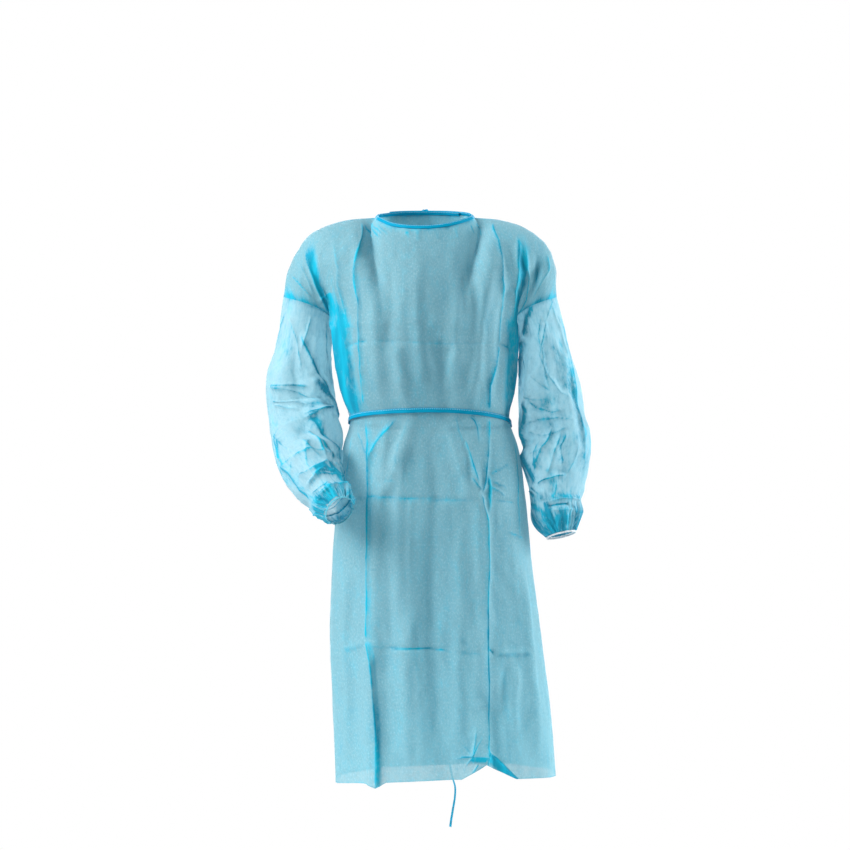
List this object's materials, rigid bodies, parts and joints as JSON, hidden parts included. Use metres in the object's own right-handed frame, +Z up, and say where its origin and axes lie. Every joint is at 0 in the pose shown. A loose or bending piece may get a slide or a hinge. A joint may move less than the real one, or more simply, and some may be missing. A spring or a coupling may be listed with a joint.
{
  "type": "disposable isolation gown",
  "caption": "Worn, hollow, knee-length disposable gown with an open lapped back, dropped armholes, long sleeves, elastic cuffs, a bound neckline and a narrow waist belt.",
  "frame": {"origin": "midway between the two points where neckline and shoulder seam meet, where the wearer's shoulders carry the gown", "axes": "+Z up, the wearer faces -Y, the wearer's left is +X"},
  "size_m": [0.6355, 0.4122, 1.2504],
  "materials": {
    "cloth": "matt non-woven",
    "tape": "matt non-woven, folded",
    "elastic": "matt"
  },
  "bodies": {
    "root": {"front_panel": "cloth", "back_panel_right": "cloth", "back_panel_left": "cloth", "sleeve_right": "cloth", "sleeve_left": "cloth", "cuff_right": "cloth", "cuff_left": "cloth", "cuff_elastic_right": "elastic", "cuff_elastic_left": "elastic", "neck_binding": "tape", "neck_knot": "tape", "neck_tail_right": "tape", "neck_tail_left": "tape", "waist_belt": "tape", "belt_knot": "tape", "belt_tail_short": "tape", "belt_tail_long": "tape"}
  },
  "joints": []
}
